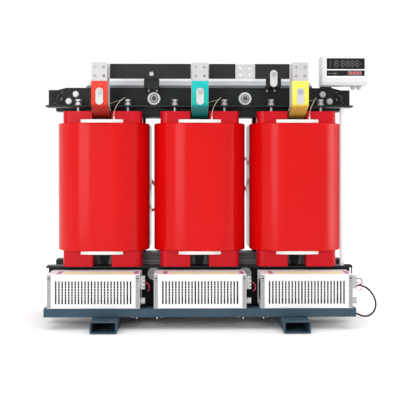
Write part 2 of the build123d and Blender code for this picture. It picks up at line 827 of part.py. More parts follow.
sleeve_gap_x = riser_width / 2 + 3.0
neutral_sleeve_runs = [
    (leg_x[0] + sleeve_gap_x, leg_x[1] - sleeve_gap_x),
    (leg_x[1] + sleeve_gap_x, neutral_pad_x - neutral_pad_width / 2),
    (neutral_pad_x + neutral_pad_width / 2, leg_x[2] - sleeve_gap_x),
]
with BuildPart() as neutral_sleeve:
    for run in neutral_sleeve_runs:
        shell = sleeve_clearance + neutral_sleeve_y
        z = (bar_top - neutral_height, bar_top)
        y = (-neutral_front_y, -neutral_back_y)
        block(run, (y[0] - shell, y[1] + shell), (z[0] - shell, z[1] + shell))
        block(
            run, (y[0] - sleeve_clearance, y[1] + sleeve_clearance),
            (z[0] - sleeve_clearance, z[1] + sleeve_clearance), mode=Mode.SUBTRACT,
        )
    with BuildSketch(Plane.XZ.offset(neutral_back_y - 5.0)):
        with Locations(*bracket_bolts):
            Circle(bus_bolt_radius + 0.5)
    extrude(amount=neutral_thickness + 10.0, mode=Mode.SUBTRACT)
save(neutral_sleeve.part, "neutral_sleeve")

# Folded brackets from the upper clamp's web to the back of the neutral bar.
bracket_front_y = neutral_back_y - neutral_sleeve_y - sleeve_clearance
with BuildPart() as brackets:
    for x in bracket_x:
        with BuildSketch(Plane.YZ.offset(x - bracket_width / 2)):
            t = bracket_thickness
            foot_face, top = -clamp_face_y, bracket_bolt_z + 18.0
            with BuildLine():
                Polyline(
                    (foot_face, bracket_bottom + t), (-bracket_front_y + t, bracket_bottom + t),
                    (-bracket_front_y + t, top), (-bracket_front_y, top), (-bracket_front_y, bracket_bottom),
                    (foot_face - t, bracket_bottom), (foot_face - t, bracket_bottom - bracket_foot_drop),
                    (foot_face, bracket_bottom - bracket_foot_drop), close=True,
                )
            make_face()
        extrude(amount=bracket_width)
        with BuildSketch(Plane.XZ.offset(clamp_face_y)):
            with Locations(*[(x + s * bracket_screw_x, bracket_screw_z) for s in (-1, 1)]):
                Circle(bracket_screw_radius + 0.3)
        extrude(amount=bracket_thickness, mode=Mode.SUBTRACT)
        with BuildSketch(Plane.XZ.offset(bracket_front_y - bracket_thickness)):
            with Locations((x, bracket_bolt_z)):
                Circle(bus_bolt_radius + 0.5)
        extrude(amount=bracket_thickness, mode=Mode.SUBTRACT)
save(brackets.part, "neutral_brackets")

# ================================================================ marker plates and busbar hardware
sleeve_face_y = bar_face_y + sleeve_clearance + sleeve_thickness
neutral_face_y = neutral_front_y + sleeve_clearance + neutral_sleeve_y
marker_places = [(x, bar_marker_top, sleeve_face_y) for x in leg_x]
marker_places.append((bracket_x[1], neutral_marker_top, neutral_face_y))
with BuildPart() as markers:
    for x, top, face in marker_places:
        with BuildSketch(Plane.XZ.offset(face)):
            with Locations((x, top - marker_height / 2)):
                SlotOverall(marker_height, marker_width, rotation=90)
            with Locations((x, top - marker_bolt_drop)):
                Circle(bus_bolt_radius + 0.3, mode=Mode.SUBTRACT)
        extrude(amount=marker_thickness)
save(markers.part, "marker_plates")


def bus_bolt(x, z, front_face, back_face):
    """A bolt along Y with its head in front of one face and its nut behind the other."""
    with BuildSketch(Plane.XZ.offset(back_face)) as shank:
        with Locations((x, z)):
            Circle(bus_bolt_radius - 0.2)
    extrude(shank.sketch, amount=front_face - back_face)
    for face, way in ((front_face, 1), (back_face, -1)):
        with BuildSketch(Plane.XZ.offset(face)) as hexagon:
            with Locations((x, z)):
                RegularPolygon(bus_head_radius, 6)
        extrude(hexagon.sketch, amount=way * bus_head_height)


with BuildPart() as bus_bolts:
    for x in leg_x:
        back = bar_front_y - bar_thickness / 2 - sleeve_clearance - sleeve_thickness
        bus_bolt(x, bar_bolt_z, sleeve_face_y + marker_thickness, back)
    for x, z in joint_bolt_points:
        bus_bolt(x, z, neutral_front_y, riser_front_y - riser_thickness / 2)
    for x in bracket_x:
        face = neutral_face_y + (marker_thickness if x == bracket_x[1] else 0.0)
        bus_bolt(x, bracket_bolt_z, face, bracket_front_y - bracket_thickness)
        for s in (-1, 1):
            screw = (x + s * bracket_screw_x, bracket_screw_z)
            with BuildSketch(Plane.XZ.offset(clamp_inner_y)):
                with Locations(screw):
                    Circle(bracket_screw_radius)
            extrude(amount=clamp_thickness + bracket_thickness)
            with BuildSketch(Plane.XZ.offset(clamp_face_y + bracket_thickness)):
                with Locations(screw):
                    RegularPolygon(5.5, 6)
            extrude(amount=4.0)
save(bus_bolts.part, "busbar_bolts")

# ================================================================ rear high-voltage fittings
stud_base_y = hv_face_y
long_studs = {(2, 0), (0, 1)}  # (leg, upper or lower terminal) that carry the long delta rod
with BuildPart() as hv_studs:
    for leg, x in enumerate(leg_x):
        for index, (px, pz) in enumerate(terminal_points):
            reach = hv_long_stud_length if (leg, index) in long_studs else hv_stud_length
            tip_y = hv_boss_rise + reach - hv_tip_length
            for start, radius, length in (
                (0.0, hv_shank_radius, tip_y), (tip_y, hv_stud_radius, hv_tip_length),
            ):
                with BuildSketch(Plane.XZ.offset(-(stud_base_y + start))):
                    with Locations((x + px, pz)):
                        Circle(radius)
                extrude(amount=-length)
            with BuildSketch(Plane.XZ.offset(-(stud_base_y + hv_boss_rise))):
                with Locations((x + px, pz)):
                    RegularPolygon(hv_seat_radius, 6)
            extrude(amount=-hv_seat_height)
        for px, pz in tap_points:
            with BuildSketch(Plane.XZ.offset(-stud_base_y)):
                with Locations((x + px, pz)):
                    Circle(hv_stud_radius)
            extrude(amount=-(hv_boss_rise + tap_stud_length))
            with BuildSketch(Plane.XZ.offset(-(stud_base_y + hv_boss_rise + 4.0))):
                with Locations((x + px, pz)):
                    RegularPolygon(9.0, 6)
            extrude(amount=-8.0)
    # Links across the taps in use, one diagonal in each phase.
    for x in leg_x:
        left, right = tap_points[2], tap_points[5]
        angle = degrees(atan2(right[1] - left[1], right[0] - left[0]))
        length = ((right[0] - left[0]) ** 2 + (right[1] - left[1]) ** 2) ** 0.5
        with BuildSketch(Plane.XZ.offset(-(stud_base_y + hv_boss_rise))):
            with Locations((x + (left[0] + right[0]) / 2, (left[1] + right[1]) / 2)):
                SlotCenterToCenter(length, 22.0, rotation=angle)
            with Locations((x + left[0], left[1]), (x + right[0], right[1])):
                Circle(hv_stud_radius + 0.3, mode=Mode.SUBTRACT)
        extrude(amount=-4.0)
save(hv_studs.part, "hv_terminals")

with BuildPart() as delta_rods:
    eye_y = stud_base_y + hv_boss_rise + hv_seat_height + rod_eye_thickness / 2
    far_eye_y = eye_y + hv_long_stud_length - hv_stud_length
    upper, lower = terminal_points[0][1], terminal_points[1][1]
    for start, end, y in (
        ((leg_x[0], upper), (leg_x[1], lower), eye_y),
        ((leg_x[1], upper), (leg_x[2], lower), eye_y),
        ((leg_x[2], upper), (leg_x[0], lower), far_eye_y),
    ):
        a, b = Vector(start[0], y, start[1]), Vector(end[0], y, end[1])
        way = (b - a).normalized()
        with BuildSketch(Plane(origin=a + way * rod_root, z_dir=way)):
            Circle(rod_radius)
        extrude(amount=(b - a).length - 2 * rod_root)
        with BuildSketch(Plane.XZ.offset(-(y + rod_eye_thickness / 2))):
            with Locations(start, end):
                Circle(rod_eye_radius)
        extrude(amount=rod_eye_thickness)
        with BuildSketch(Plane.XZ.offset(-(y + rod_eye_thickness / 2 + 5.0))):
            with Locations(start, end):
                Circle(hv_shank_radius + 0.3)
        extrude(amount=rod_eye_thickness + 10.0, mode=Mode.SUBTRACT)
save(delta_rods.part, "hv_delta_rods")

# ================================================================ one fan, facing -Y, centred on X = 0
fan_front, fan_back = -rail_front_y, -rail_front_y + fan_depth
fan_low, fan_high = rail_top, rail_top + fan_height
plate_x = fan_half - fan_cap_depth
slot_pitch = (fan_length - 2 * slot_field_start - slot_width) / (slot_count - 1)
slot_x = [-fan_half + slot_field_start + slot_width / 2 + i * slot_pitch for i in range(slot_count)]
slot_z = fan_low + fan_height / 2 - 5.0
disc_x = [slot_x[column] for column in disc_columns]
motor_x = (disc_x[-1] + motor_gap, plate_x)

with BuildPart() as fan_case:
    block((-fan_half, fan_half), (fan_front, fan_back), (fan_low, fan_high))
    fillet(edges().filter_by(Axis.X).group_by(Axis.Y)[0], 3.0)
    inside_y = (fan_front + fan_sheet, fan_back - fan_sheet)
    inside_z = (fan_low + fan_sheet, fan_high - fan_sheet)
    block((-plate_x, plate_x), inside_y, inside_z, mode=Mode.SUBTRACT)
    for ends in ((-fan_half, -plate_x - fan_sheet), (plate_x + fan_sheet, fan_half)):
        block(ends, inside_y, inside_z, mode=Mode.SUBTRACT)
    # The bush that carries the shaft's free end, welded to the left end plate.
    with BuildSketch(Plane.YZ.offset(-plate_x - fan_sheet)):
        with Locations((-impeller_core_y, impeller_z)):
            Circle(bush_radius)
    extrude(amount=bush_length)
    with BuildSketch(Plane.YZ.offset(-plate_x - fan_sheet)):
        with Locations((-impeller_core_y, impeller_z)):
            Circle(shaft_radius + shaft_clearance)
    extrude(amount=bush_length, mode=Mode.SUBTRACT)
    with BuildSketch(Plane.XZ.offset(rail_front_y - fan_sheet)):
        with Locations(*[(x, slot_z) for x in slot_x]):
            Rectangle(slot_width, slot_height)
    extrude(amount=fan_sheet, mode=Mode.SUBTRACT)
    # The air outlet, high in the back.
    block(
        (-outlet_length / 2, outlet_length / 2), (fan_back - fan_sheet, fan_back),
        (fan_high - outlet_drop - outlet_height, fan_high - outlet_drop), mode=Mode.SUBTRACT,
    )
    with BuildSketch(Plane.XY.offset(fan_low)):
        with Locations(*[(s * (fan_half - fan_screw_inset), -rail_front_y + rail_depth / 2) for s in (-1, 1)]):
            Circle(rail_screw_radius + 0.5)
    extrude(amount=fan_sheet, mode=Mode.SUBTRACT)

with BuildPart() as impeller:
    with BuildSketch(Plane.YZ.offset(-plate_x - fan_sheet)):
        with Locations((-impeller_core_y, impeller_z)):
            Circle(shaft_radius)
    extrude(amount=plate_x + fan_sheet + motor_x[0] + motor_socket)
    for x in disc_x:
        with BuildSketch(Plane.YZ.offset(x - disc_thickness / 2)):
            with Locations((-impeller_core_y, impeller_z)):
                RegularPolygon(impeller_radius, 2 * blade_count)
        extrude(amount=disc_thickness)
    with BuildSketch(Plane.YZ.offset(disc_x[0])):
        with Locations((-impeller_core_y, impeller_z)):
            with PolarLocations(impeller_radius - blade_chord / 2 - 1.5, blade_count):
                Rectangle(blade_chord, blade_thickness, rotation=blade_pitch_angle)
    extrude(amount=disc_x[-1] - disc_x[0])

with BuildPart() as fan_motor:
    with BuildSketch(Plane.YZ.offset(motor_x[0])):
        with Locations((-impeller_core_y, impeller_z)):
            Circle(motor_radius)
    extrude(amount=motor_x[1] - motor_x[0])
    fillet(edges().filter_by(GeomType.CIRCLE).group_by(Axis.X)[0], 6.0)
    with BuildSketch(Plane.YZ.offset(motor_x[0])):
        with Locations((-impeller_core_y, impeller_z)):
            Circle(shaft_radius + shaft_clearance)
    extrude(amount=motor_socket + 1.0, mode=Mode.SUBTRACT)

with BuildPart() as fan_terminal:
    terminal_face = plate_x + fan_sheet
    low, high = terminal_z - terminal_height / 2, terminal_z + terminal_height / 2
    block(
        (terminal_face, terminal_face + terminal_reach),
        (-terminal_y - terminal_width / 2, -terminal_y + terminal_width / 2), (low, high),
    )
    for step in (-1, 0, 1):
        block(
            (terminal_face + terminal_reach - 9.0, terminal_face + terminal_reach),
            (-terminal_y - terminal_width / 2, -terminal_y + terminal_width / 2),
            (terminal_z + step * 18.0 - 2.0, terminal_z + step * 18.0 + 2.0), mode=Mode.SUBTRACT,
        )
    with BuildSketch(Plane.YZ.offset(terminal_face)):
        with Locations((-terminal_y, capacitor_z)):
            Circle(capacitor_radius)
    extrude(amount=terminal_reach)


def fan_places():
    """The six fans: three along the front, three turned round along the back."""
    for row, turn in (("front", 0), ("rear", 180)):
        for index in (-1, 0, 1):
            yield row, index, Location((index * fan_pitch, 0, 0), (0, 0, turn))


for number, (row, index, place) in enumerate(fan_places(), start=1):
    with BuildPart() as placed_case:
        with Locations(place):
            add(fan_case.part)
    save(placed_case.part, f"fan_case_{number}")
    with BuildPart() as placed_impeller:
        with Locations(place):
            add(impeller.part)
    save(placed_impeller.part, f"fan_impeller_{number}")

for name, piece in (("fan_motors", fan_motor), ("fan_terminals", fan_terminal)):
    with BuildPart() as group:
        for row, index, place in fan_places():
            with Locations(place):
                add(piece.part)
    save(group.part, name)

# ================================================================ temperature controller
controller_right_x = controller_left_x + controller_width
controller_top_z = controller_base_z + controller_height
controller_back_y = clamp_face_y + bracket_thickness
controller_front_y = controller_back_y + controller_depth
bezel_x = (controller_left_x + bezel_inset, controller_right_x - bezel_inset + 4.0)
bezel_z = (controller_base_z + bezel_bottom, controller_top_z - bezel_top)
window_x = (bezel_x[0] + window_inset, bezel_x[1] - window_inset)
strip_z = (bezel_z[0] + window_inset, bezel_z[0] + window_inset + strip_height)
window_z = (strip_z[1] + window_gap, bezel_z[1] - window_inset)
key_x = [
    window_x[1] - key_right_margin - key_width / 2 - (key_count - 1 - i) * key_pitch for i in range(key_count)
]
key_z = (strip_z[0] + strip_z[1]) / 2
face_y = controller_front_y + bezel_depth

with BuildPart() as controller_case:
    with BuildSketch(Plane.YZ.offset(controller_left_x)):
        with BuildLine():
            Polyline(
                (-controller_back_y, controller_base_z), (-controller_back_y, controller_top_z),
                (-controller_front_y, controller_top_z), (-controller_front_y, controller_base_z + controller_slope),
                (-controller_front_y + controller_slope, controller_base_z), close=True,
            )
        make_face()
    extrude(amount=controller_width)
    fillet(edges().filter_by(Axis.Z), 4.0)
    block(
        (controller_left_x + controller_wall, controller_right_x - controller_wall),
        (-controller_front_y + controller_wall, -controller_back_y - controller_wall),
        (controller_base_z + controller_slope, controller_top_z - controller_wall), mode=Mode.SUBTRACT,
    )
    # The opening behind the front panel.
    block(
        (window_x[0] - 2.0, window_x[1] + 2.0), (-controller_front_y, -controller_front_y + controller_wall),
        (strip_z[0] - 2.0, window_z[1] + 2.0), mode=Mode.SUBTRACT,
    )
save(controller_case.part, "controller_case")

with BuildPart() as bezel:
    block(bezel_x, (-face_y, -controller_front_y), bezel_z)
    fillet(edges().filter_by(Axis.Y), 2.0)
    panel_back = -controller_front_y + controller_wall
    block(
        (window_x[0] - 1.0, window_x[1] + 1.0), (-controller_front_y, panel_back),
        (strip_z[0] - 1.0, window_z[1] + 1.0),
    )
    for z in (strip_z, window_z):
        block(window_x, (-face_y, -face_y + 2.0), z, mode=Mode.SUBTRACT)
    for x in key_x:
        hole = key_clearance + key_width / 2
        block(
            (x - hole, x + hole), (-face_y, panel_back),
            (key_z - key_height / 2 - key_clearance, key_z + key_height / 2 + key_clearance),
            mode=Mode.SUBTRACT,
        )
save(bezel.part, "controller_bezel")

key_face_y = face_y - 2.0 + key_stand
for number, x in enumerate(key_x, start=1):
    with BuildPart() as key:
        block(
            (x - key_width / 2, x + key_width / 2), (-key_face_y, panel_back + 1.0),
            (key_z - key_height / 2, key_z + key_height / 2),
        )
        fillet(edges().group_by(Axis.Y)[0], 1.2)
        # A collar behind the panel keeps the key in.
        block(
            (x - key_width / 2 - 1.5, x + key_width / 2 + 1.5), (panel_back + 0.3, panel_back + 2.3),
            (key_z - key_height / 2 - 1.5, key_z + key_height / 2 + 1.5),
        )
    save(key.part, f"controller_key_{number}")

with BuildPart() as controller_bracket:
    plate_z = (upper_flange_z + controller_plate_rise, controller_top_z - controller_plate_drop)
    plate_across = [controller_left_x + inset for inset in controller_plate_x]
    block(plate_across, (-controller_back_y, -clamp_face_y), plate_z)
    fillet(edges().filter_by(Axis.Y), 5.0)
    with BuildSketch(Plane.XZ.offset(clamp_face_y)):
        with Locations(*end_bolt_points):
            Circle(19.0)
    extrude(amount=bracket_thickness, mode=Mode.SUBTRACT)
save(controller_bracket.part, "controller_bracket")

with BuildPart() as glands:
    for x in [controller_right_x - inset for inset in gland_inset]:
        with BuildSketch(Plane.XY.offset(controller_base_z)):
            with Locations((x, -(controller_back_y + controller_front_y) / 2)):
                RegularPolygon(gland_radius + 2.0, 6)
        extrude(amount=-gland_length / 2)
        with BuildSketch(Plane.XY.offset(controller_base_z - gland_length / 2)):
            with Locations((x, -(controller_back_y + controller_front_y) / 2)):
                Circle(gland_radius)
        extrude(amount=-gland_length / 2, taper=10)
save(glands.part, "controller_glands")

with BuildPart() as conduit:
    with BuildSketch(Plane.XY.offset(lower_flange_top)):
        with Locations((conduit_x, -conduit_y)):
            Circle(conduit_radius)
            Circle(conduit_radius - conduit_wall, mode=Mode.SUBTRACT)
    extrude(amount=upper_flange_z - lower_flange_top)
save(conduit.part, "sensor_conduit")


# ================================================================ cable and sensor leads
def cord_radii(points):
    """The largest arc that each corner of a cord's route allows: 0.45 of the shorter run."""
    found = []
    for before, here, after in zip(points, points[1:], points[2:]):
        first, second = Vector(*here) - Vector(*before), Vector(*after) - Vector(*here)
        turn = radians(first.get_angle(second))
        found.append(0.45 * min(first.length, second.length) / tan(turn / 2))
    return found


def cord_tube(points, radius):
    """A tube of straight runs joined by tangent arcs."""
    with BuildLine() as route:
        FilletPolyline(*points, radius=cord_radii(points))
    path = route.wires()[0]
    with BuildSketch(Plane(origin=path @ 0, z_dir=path % 0)) as section:
        Circle(radius)
    sweep(section.sketch, path=path)
    return path.length


cable_radius = 3.8
cable_y = -300.0
cable_exit_x = fan_pitch + terminal_face + terminal_reach
cable_rest_z = foot_height + rail_wall + cable_radius + 0.1
cable_points = [
    (cable_exit_x, cable_y, 197.0), (737.0, cable_y, 197.0), (757.0, cable_y, 190.0),
    (776.0, cable_y, 176.0), (793.0, cable_y, 155.0), (805.0, cable_y, 130.0),
    (808.0, cable_y, 104.0), (800.0, cable_y, 78.0), (782.0, cable_y, 60.0),
    (760.0, cable_y, 53.5), (739.0, cable_y, 57.5), (717.0, cable_y, cable_rest_z + 2.4),
    (695.0, cable_y, cable_rest_z),
]
with BuildPart() as fan_cable:
    cable_length = cord_tube(cable_points, cable_radius)
save(fan_cable.part, "fan_cable")
print("cable radii", [round(r, 1) for r in cord_radii(cable_points)], "length", round(cable_length, 1))
section = 3.141592653589793 * cable_radius**2
print("cable volume over section times length", round(fan_cable.part.volume / (section * cable_length), 4))

lead_radius = 1.4
stub_top = coil_top + barrier_thickness + lead_stub_height
stub_y = -(barrier_front_y + barrier_end_y) / 2 + 3.0
lead_shape = [
    (0.0, 0.0, 0.0), (0.0, 0.0, 20.0), (7.0, 6.0, 43.0), (18.0, 17.0, 65.0),
    (31.0, 40.0, 83.0), (42.0, 68.0, 95.0), (46.0, -clamp_face_y - stub_y - 15.0, 98.0),
    (46.0, -clamp_face_y - stub_y, 98.0),
]
with BuildPart() as leads:
    for x in leg_x:
        points = [(x + lead_stub_x + dx, stub_y + dy, stub_top + dz) for dx, dy, dz in lead_shape]
        lead_length = cord_tube(points, lead_radius)
save(leads.part, "sensor_leads")
print("lead radii", [round(r, 1) for r in cord_radii(points)], "length", round(lead_length, 1))
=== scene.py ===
"""Looks for the dry type transformer, in metres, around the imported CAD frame."""
import math

import bmesh
import bpy
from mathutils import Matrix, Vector


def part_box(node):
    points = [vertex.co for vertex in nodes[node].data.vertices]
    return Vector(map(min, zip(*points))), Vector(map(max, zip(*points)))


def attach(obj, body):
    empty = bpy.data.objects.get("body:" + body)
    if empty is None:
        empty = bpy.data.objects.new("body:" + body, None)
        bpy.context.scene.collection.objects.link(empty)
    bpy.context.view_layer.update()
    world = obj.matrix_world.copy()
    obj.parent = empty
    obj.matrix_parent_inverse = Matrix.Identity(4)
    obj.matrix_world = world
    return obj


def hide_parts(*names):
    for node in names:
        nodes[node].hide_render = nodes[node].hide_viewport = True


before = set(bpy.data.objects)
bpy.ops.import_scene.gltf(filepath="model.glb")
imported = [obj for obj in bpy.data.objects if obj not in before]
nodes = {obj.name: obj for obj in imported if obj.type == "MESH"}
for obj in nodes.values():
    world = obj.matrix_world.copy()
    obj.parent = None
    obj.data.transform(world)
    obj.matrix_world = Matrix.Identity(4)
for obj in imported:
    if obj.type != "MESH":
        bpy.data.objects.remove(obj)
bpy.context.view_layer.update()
ROOT = "transformer"


def span(node):
    """Lowest corner, highest corner and centre of a CAD node."""
    low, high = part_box(node)
    return low, high, (low + high) / 2


def placed(name, data):
    """A new object for that data, linked to the scene."""
    made = bpy.data.objects.new(name, data)
    bpy.context.scene.collection.objects.link(made)
    return made


# ---------------------------------------------------------------- camera
CAMERA_DISTANCE = 3.80
CAMERA_HEIGHT = 0.735
CAMERA_YAW = math.radians(0.75)
CAMERA_LENS = 68.8
CAMERA_SENSOR = 36.0
CAMERA_SHIFT = (0.0019, -0.080)
CAMERA_REACH = 40.0

camera_data = bpy.data.cameras.new("camera")
camera = placed("camera", camera_data)
camera.location = (-CAMERA_DISTANCE * math.sin(CAMERA_YAW),
                   -CAMERA_DISTANCE * math.cos(CAMERA_YAW), CAMERA_HEIGHT)
camera.rotation_euler = (math.pi / 2, 0.0, -CAMERA_YAW)
camera_data.lens = CAMERA_LENS
camera_data.sensor_width = CAMERA_SENSOR
camera_data.shift_x, camera_data.shift_y = CAMERA_SHIFT
camera_data.clip_end = CAMERA_REACH
bpy.context.scene.camera = camera
bpy.context.scene.view_settings.view_transform = "Standard"


# ------------------------------------------------------------- materials
def node_of(tree, kind, **values):
    """A shader node with its input sockets set by name."""
    made = tree.nodes.new(kind)
    for key, value in values.items():
        made.inputs[key.replace("_", " ")].default_value = value
    return made


def blank(name, rough, metal, **sockets):
    """A material with its tree, its shader and its object coordinates."""
    material = bpy.data.materials.new(name)
    material.use_nodes = True
    tree = material.node_tree
    shader = tree.nodes["Principled BSDF"]
    shader.inputs["Roughness"].default_value = rough
    shader.inputs["Metallic"].default_value = metal
    for key, value in sockets.items():
        shader.inputs[key.replace("_", " ")].default_value = value
    where = tree.nodes.new("ShaderNodeTexCoord").outputs["Object"]
    return material, tree, shader, where


def shade(colour, factor):
    """The colour made darker or lighter, as an opaque socket value."""
    return tuple(min(1.0, c * factor) for c in colour) + (1.0,)


def mottled(tree, where, colour, swing, scale, stretch):
    """The colour drifting by swing over patches of that scale."""
    mapping = node_of(tree, "ShaderNodeMapping", Scale=stretch)
    tree.links.new(where, mapping.inputs["Vector"])
    noise = node_of(tree, "ShaderNodeTexNoise", Scale=scale, Detail=4.0, Roughness=0.6)
    tree.links.new(mapping.outputs["Vector"], noise.inputs["Vector"])
    ramp = tree.nodes.new("ShaderNodeValToRGB")
    ramp.color_ramp.elements[0].position = 0.30
    ramp.color_ramp.elements[0].color = shade(colour, 1.0 - swing)
    ramp.color_ramp.elements[1].position = 0.70
    ramp.color_ramp.elements[1].color = shade(colour, 1.0 + swing)
    tree.links.new(noise.outputs["Fac"], ramp.inputs["Fac"])
    return ramp.outputs["Color"], noise.outputs["Fac"]


def surface(name, colour, rough=0.45, metal=0.0, swing=0.05, scale=14.0, stretch=(1, 1, 1),
            rough_swing=0.08, grain=500.0, bump=0.03, depth=0.0004, crown=None, heights=None,
            **sockets):
    """A painted, moulded or plated surface: drifting colour, uneven gloss and a fine grain."""
    material, tree, shader, where = blank(name, rough, metal, **sockets)
    tint, drift = mottled(tree, where, colour, swing, scale, stretch)
    # heights: painted shade that changes with height, multiplied onto the tint
    if heights:
        tint = banded(tree, where, tint, heights)
    tree.links.new(tint, shader.inputs["Base Color"])
    gloss = node_of(tree, "ShaderNodeMapRange")
    gloss.inputs["To Min"].default_value = rough - rough_swing
    gloss.inputs["To Max"].default_value = rough + rough_swing
    tree.links.new(drift, gloss.inputs["Value"])
    tree.links.new(gloss.outputs["Result"], shader.inputs["Roughness"])
    mapping = node_of(tree, "ShaderNodeMapping", Scale=stretch)
    tree.links.new(where, mapping.inputs["Vector"])
    fine = node_of(tree, "ShaderNodeTexNoise", Scale=grain, Detail=2.0)
    tree.links.new(mapping.outputs["Vector"], fine.inputs["Vector"])
    relief = node_of(tree, "ShaderNodeBump", Strength=bump * 10, Distance=depth)
    tree.links.new(fine.outputs["Fac"], relief.inputs["Height"])
    tree.links.new(relief.outputs["Normal"], shader.inputs["Normal"])
    if crown:
        tree.links.new(crowned(tree, where, *crown), relief.inputs["Normal"])
    return material


def crowned(tree, where, pitch, flat_half, half, rise):
    """The slight swell of a cast wall: flat in each copy's middle, falling away to its sides."""
    axes = tree.nodes.new("ShaderNodeSeparateXYZ")
    tree.links.new(where, axes.inputs["Vector"])
    offset = tree.nodes.new("ShaderNodeMath")
    offset.operation = "PINGPONG"
    offset.inputs[1].default_value = pitch / 2
    tree.links.new(axes.outputs["X"], offset.inputs[0])
    swell = node_of(tree, "ShaderNodeMapRange", From_Min=flat_half, From_Max=half,
                    To_Min=1.0, To_Max=0.0)
    swell.interpolation_type = "SMOOTHSTEP"
    tree.links.new(offset.outputs["Value"], swell.inputs["Value"])
    relief = node_of(tree, "ShaderNodeBump", Strength=1.0, Distance=rise)
    tree.links.new(swell.outputs["Result"], relief.inputs["Height"])
    return relief.outputs["Normal"]


def multiplied(tree, first, second, share):
    """The first colour multiplied by the second, by that share."""
    mix = tree.nodes.new("ShaderNodeMix")
    mix.data_type = "RGBA"
    mix.blend_type = "MULTIPLY"
    mix.inputs["Factor"].default_value = share
    tree.links.new(first, mix.inputs["A"])
    tree.links.new(second, mix.inputs["B"])
    return mix.outputs["Result"]


def banded(tree, where, tint, heights):
    """The tint multiplied by shades that change with height."""
    axes = tree.nodes.new("ShaderNodeSeparateXYZ")
    tree.links.new(where, axes.inputs["Vector"])
    low, high = heights[0][0], heights[-1][0]
    place = node_of(tree, "ShaderNodeMapRange", From_Min=low, From_Max=high)
    tree.links.new(axes.outputs["Z"], place.inputs["Value"])
    ramp = tree.nodes.new("ShaderNodeValToRGB")
    stops = ramp.color_ramp.elements
    for k, (z, colour) in enumerate(heights):
        stop = stops[k] if k < 2 else stops.new(1.0)
        stop.position = (z - low) / (high - low)
        stop.color = (*colour, 1.0)
    tree.links.new(place.outputs["Result"], ramp.inputs["Fac"])
    return multiplied(tree, tint, ramp.outputs["Color"], 1.0)


def laminated(name, colour, sheet=0.0035):
    """Stacked core sheets: fine lines across the depth, a brushed face, and painted shade and
    highlight by height.
    """
    material, tree, shader, where = blank(name, 0.42, 0.20)
    tint, _ = mottled(tree, where, colour, 0.10, 30.0, (0.15, 1.0, 1.0))
    bands = node_of(tree, "ShaderNodeTexWave", Scale=1.0 / (sheet * 6.2), Distortion=0.4)
    bands.bands_direction = "Y"
    tree.links.new(where, bands.inputs["Vector"])
    lined = multiplied(tree, tint, bands.outputs["Color"], 0.35)
    tree.links.new(banded(tree, where, lined, CORE_SHADE_AND_HIGHLIGHT), shader.inputs["Base Color"])
    relief = node_of(tree, "ShaderNodeBump", Strength=0.35, Distance=0.0006)
    tree.links.new(bands.outputs["Fac"], relief.inputs["Height"])
    tree.links.new(relief.outputs["Normal"], shader.inputs["Normal"])
    return material


RED = (0.570, 0.0022, 0.0026)
DULL = {"Specular_IOR_Level": 0.16}
MATT = {"Specular_IOR_Level": 0.08}
LEG_X = (-0.460, 0.0, 0.460)
# the coils' swell: pitch, half width of the flat, half width and rise
COIL_CROWN = (0.460, 0.053, 0.219, 0.028)
# painted shade at a height in metres: the sleeves darken towards their sloped foot, which faces
# down
SLEEVE_PAINTED_SHADE = ((0.970, (0.34, 0.20, 0.20)), (1.016, (0.62, 0.42, 0.42)),
               (1.030, (0.86, 0.80, 0.70)), (1.130, (1.0, 1.0, 1.0)))
# core sheets by height: painted shade across the leg joints under the clamp, a painted highlight
# along the top of the yoke
CORE_SHADE_AND_HIGHLIGHT = ((0.300, (0.26, 0.25, 0.26)), (0.900, (0.30, 0.30, 0.30)),
              (0.960, (0.03, 0.03, 0.03)), (1.045, (0.03, 0.03, 0.03)),
              (1.060, (0.36, 0.37, 0.38)), (1.136, (0.40, 0.41, 0.42)),
              (1.141, (1.9, 1.9, 1.9)), (1.180, (1.9, 1.9, 1.9)))
